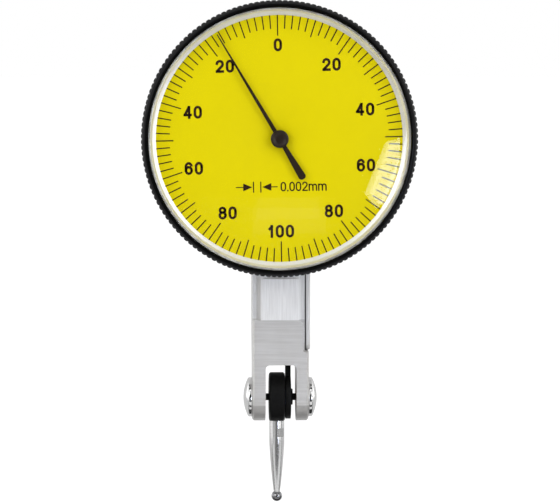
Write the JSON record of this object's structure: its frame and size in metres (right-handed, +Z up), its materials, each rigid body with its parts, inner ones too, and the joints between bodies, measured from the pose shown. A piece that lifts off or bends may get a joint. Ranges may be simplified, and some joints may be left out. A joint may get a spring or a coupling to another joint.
{
  "type": "dial test indicator",
  "caption": "Lever dial test indicator: round graduated dial in a knurled turning bezel on a slim case with dovetails, and a ball stylus swinging in a fork below.",
  "frame": {"origin": "on the face of the back dovetail, in line with the pointer's axis", "axes": "+Z up along the case towards the top dovetail, away from the stylus; +Y out of the back, opposite the dial; +X to the right of the dial"},
  "size_m": [0.04, 0.0197, 0.0741],
  "materials": {
    "satin_steel": "satin chrome, finely brushed",
    "screw_steel": "turned steel",
    "black_case": "black, half gloss",
    "movement_brass": "fine turned brass",
    "bush_bronze": "bronze bush",
    "spring_steel": "blued spring steel",
    "polished_chrome": "mirror polished",
    "black_bezel": "black, half gloss",
    "crystal_clear": "clear moulded crystal",
    "light_ring_silver": "silver reflector ring",
    "dial_yellow": "yellow enamel with dark print",
    "pointer_black": "dark brown-black lacquer",
    "black_lever": "blackened steel",
    "black_hub": "blackened steel",
    "ball_carbide": "polished hard metal"
  },
  "bodies": {
    "case": {"case_body": "satin_steel", "side_cover": "satin_steel", "side_cover_screws": "screw_steel", "dial_case": "black_case", "dial_case_screws": "screw_steel", "centre_bridge": "movement_brass", "centre_bridge_screws": "screw_steel", "centre_bush_rear": "bush_bronze", "centre_bush_front": "bush_bronze", "hairspring": "spring_steel", "hairspring_stud": "movement_brass", "movement_bridge": "movement_brass", "movement_bridge_screws": "screw_steel", "travel_stop_pins": "screw_steel", "crown_bushes": "bush_bronze", "sector_bushes": "bush_bronze", "pivot_bush_left": "bush_bronze", "pivot_bush_right": "bush_bronze", "pivot_cap_left": "polished_chrome", "pivot_cap_right": "polished_chrome"},
    "bezel": {"bezel_ring": "black_bezel", "bezel_spring_ring": "spring_steel", "crystal": "crystal_clear", "light_ring": "light_ring_silver", "dial_plate": "dial_yellow"},
    "pointer": {"pointer_blade": "pointer_black", "pointer_hub": "pointer_black", "centre_arbor": "screw_steel", "centre_pinion": "screw_steel", "hairspring_collet": "movement_brass"},
    "crown": {"crown_wheel": "movement_brass", "crown_arbor": "screw_steel", "crown_pinion": "screw_steel"},
    "sector": {"sector_lever": "movement_brass", "sector_arbor": "screw_steel"},
    "lever": {"lever_arm": "black_lever", "drive_pin": "screw_steel", "pivot_shaft": "black_lever", "hub_clip": "spring_steel", "clutch_washer": "spring_steel"},
    "stylus": {"stylus_hub": "black_hub", "stylus_shank": "polished_chrome", "contact_ball": "ball_carbide"}
  },
  "joints": [
    {"name": "pointer_turn", "type": "hinge", "parent": "case", "child": "pointer", "pos_m": [0, -0.0122, 0], "axis": [0, 1, 0], "range_deg": [0, 450], "stiffness_Nm_per_rad": 0.000001, "springref_deg": -360.96, "deforming": ["hairspring"]},
    {"name": "crown_turn", "type": "hinge", "parent": "case", "child": "crown", "pos_m": [0, -0.0065, 0], "axis": [1, 0, 0], "range_deg": [-159.82, 1]},
    {"name": "sector_turn", "type": "hinge", "parent": "case", "child": "sector", "pos_m": [0, -0.0065, -0.01408], "axis": [1, 0, 0], "range_deg": [-0.1, 11.72]},
    {"name": "lever_swing", "type": "hinge", "parent": "case", "child": "lever", "pos_m": [0, -0.0085, -0.0385], "axis": [1, 0, 0], "range_deg": [-0.978, 0.01]},
    {"name": "stylus_set", "type": "hinge", "parent": "lever", "child": "stylus", "pos_m": [0, -0.0085, -0.0385], "axis": [1, 0, 0], "range_deg": [-110, 110]},
    {"name": "bezel_turn", "type": "hinge", "parent": "case", "child": "bezel", "pos_m": [0, -0.0145, 0], "axis": [0, 1, 0], "continuous": true}
  ],
  "couplings": [
    {"joint": "crown_turn", "follows": "pointer_turn", "ratio": -0.35294},
    {"joint": "sector_turn", "follows": "pointer_turn", "ratio": 0.025825},
    {"joint": "lever_swing", "follows": "pointer_turn", "ratio": -0.0021521}
  ]
}
